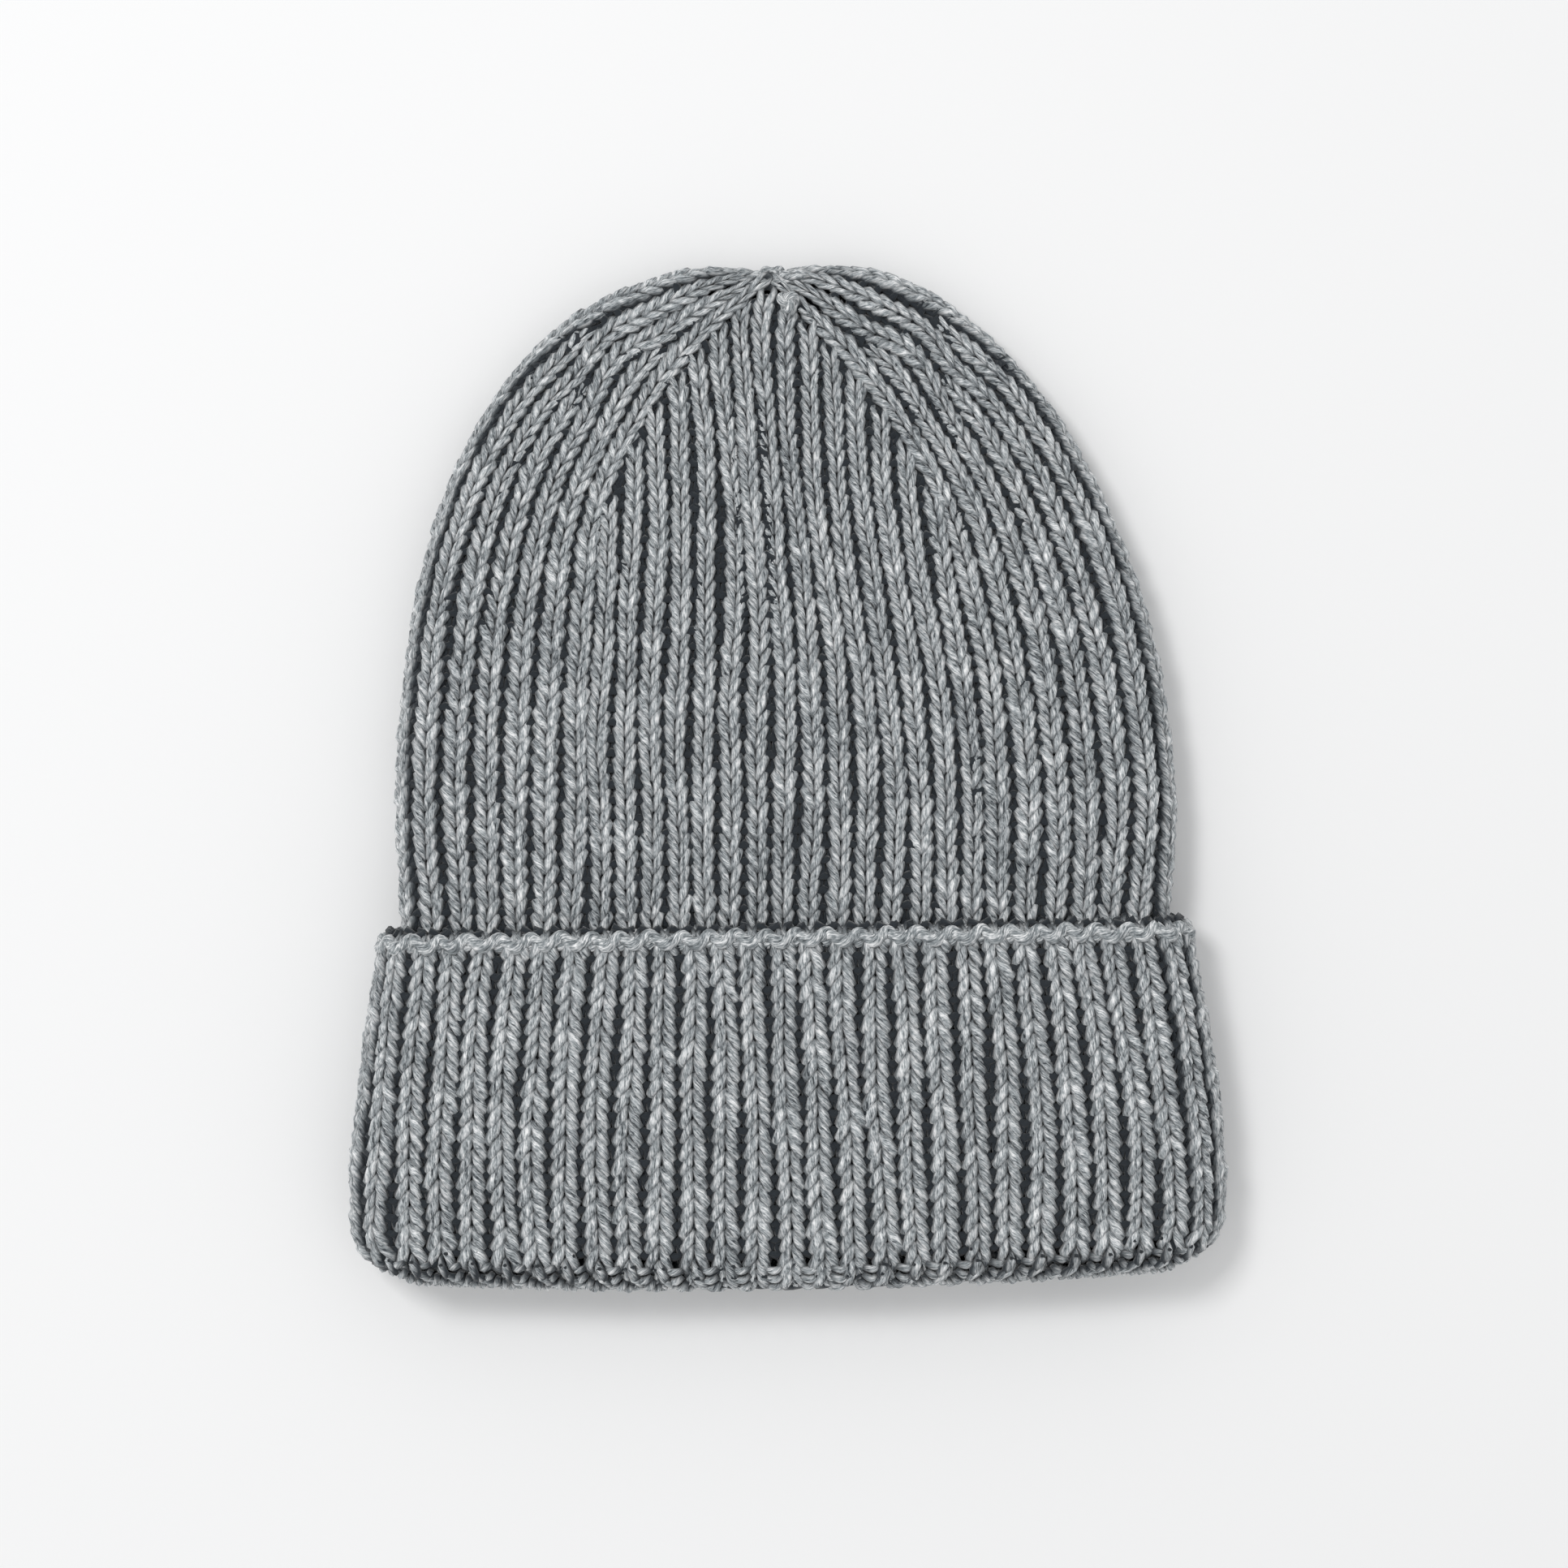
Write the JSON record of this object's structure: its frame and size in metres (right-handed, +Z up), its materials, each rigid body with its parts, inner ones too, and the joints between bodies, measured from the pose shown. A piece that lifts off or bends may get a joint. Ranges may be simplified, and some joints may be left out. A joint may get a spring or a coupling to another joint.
{
  "type": "knit beanie",
  "caption": "Chunky rib-knit beanie lying flat, with a shaped crown gathered at its tip and a deep turned-up cuff that folds down.",
  "frame": {"origin": "middle of the hat's footprint on the surface that it lies on", "axes": "+X across the hat, +Y from the fold of the cuff towards the crown's tip, +Z up from the surface, out of the front of the hat"},
  "size_m": [0.2092, 0.244, 0.0276],
  "materials": {
    "rib_knit": "grey melange acrylic and wool yarn, matte",
    "cast_on_yarn": "the same yarn, matte",
    "closing_yarn": "the same yarn, matte",
    "seam_yarn": "the same yarn, matte",
    "label_ribbon": "woven satin ribbon",
    "label_thread": "polyester sewing thread"
  },
  "bodies": {
    "knit_body": {"crown_front_gore": "rib_knit", "crown_back_gore": "rib_knit", "crown_left_gore": "rib_knit", "crown_right_gore": "rib_knit", "band_front": "rib_knit", "band_back": "rib_knit", "band_left": "rib_knit", "band_right": "rib_knit", "fold_front": "rib_knit", "fold_back": "rib_knit", "fold_left": "rib_knit", "fold_right": "rib_knit", "closing_yarn": "closing_yarn", "closing_knot": "closing_yarn", "back_seam": "seam_yarn", "care_label": "label_ribbon", "label_thread": "label_thread"},
    "cuff_front": {"cuff_front": "rib_knit", "cuff_front_cast_on": "cast_on_yarn"},
    "cuff_back": {"cuff_back": "rib_knit", "cuff_back_cast_on": "cast_on_yarn"},
    "cuff_left": {"cuff_left": "rib_knit", "cuff_left_cast_on": "cast_on_yarn"},
    "cuff_right": {"cuff_right": "rib_knit", "cuff_right_cast_on": "cast_on_yarn"}
  },
  "joints": [
    {"name": "cuff_front_fold", "type": "hinge", "parent": "knit_body", "child": "cuff_front", "pos_m": [0, -0.11685, 0.02245], "axis": [1, 0, 0], "range_deg": [0, 180]},
    {"name": "cuff_back_fold", "type": "hinge", "parent": "knit_body", "child": "cuff_back", "pos_m": [0, -0.11685, 0.00515], "axis": [-1, 0, 0], "range_deg": [0, 180]},
    {"name": "cuff_left_fold", "type": "hinge", "parent": "knit_body", "child": "cuff_left", "pos_m": [-0.0915, -0.1079, 0.0138], "axis": [0, 0, 1], "range_deg": [0, 184]},
    {"name": "cuff_right_fold", "type": "hinge", "parent": "knit_body", "child": "cuff_right", "pos_m": [0.0915, -0.1079, 0.0138], "axis": [0, 0, -1], "range_deg": [0, 184]}
  ],
  "couplings": [
    {"joint": "cuff_back_fold", "follows": "cuff_front_fold", "ratio": 1},
    {"joint": "cuff_left_fold", "follows": "cuff_front_fold", "ratio": 1.02},
    {"joint": "cuff_right_fold", "follows": "cuff_front_fold", "ratio": 1.02}
  ]
}
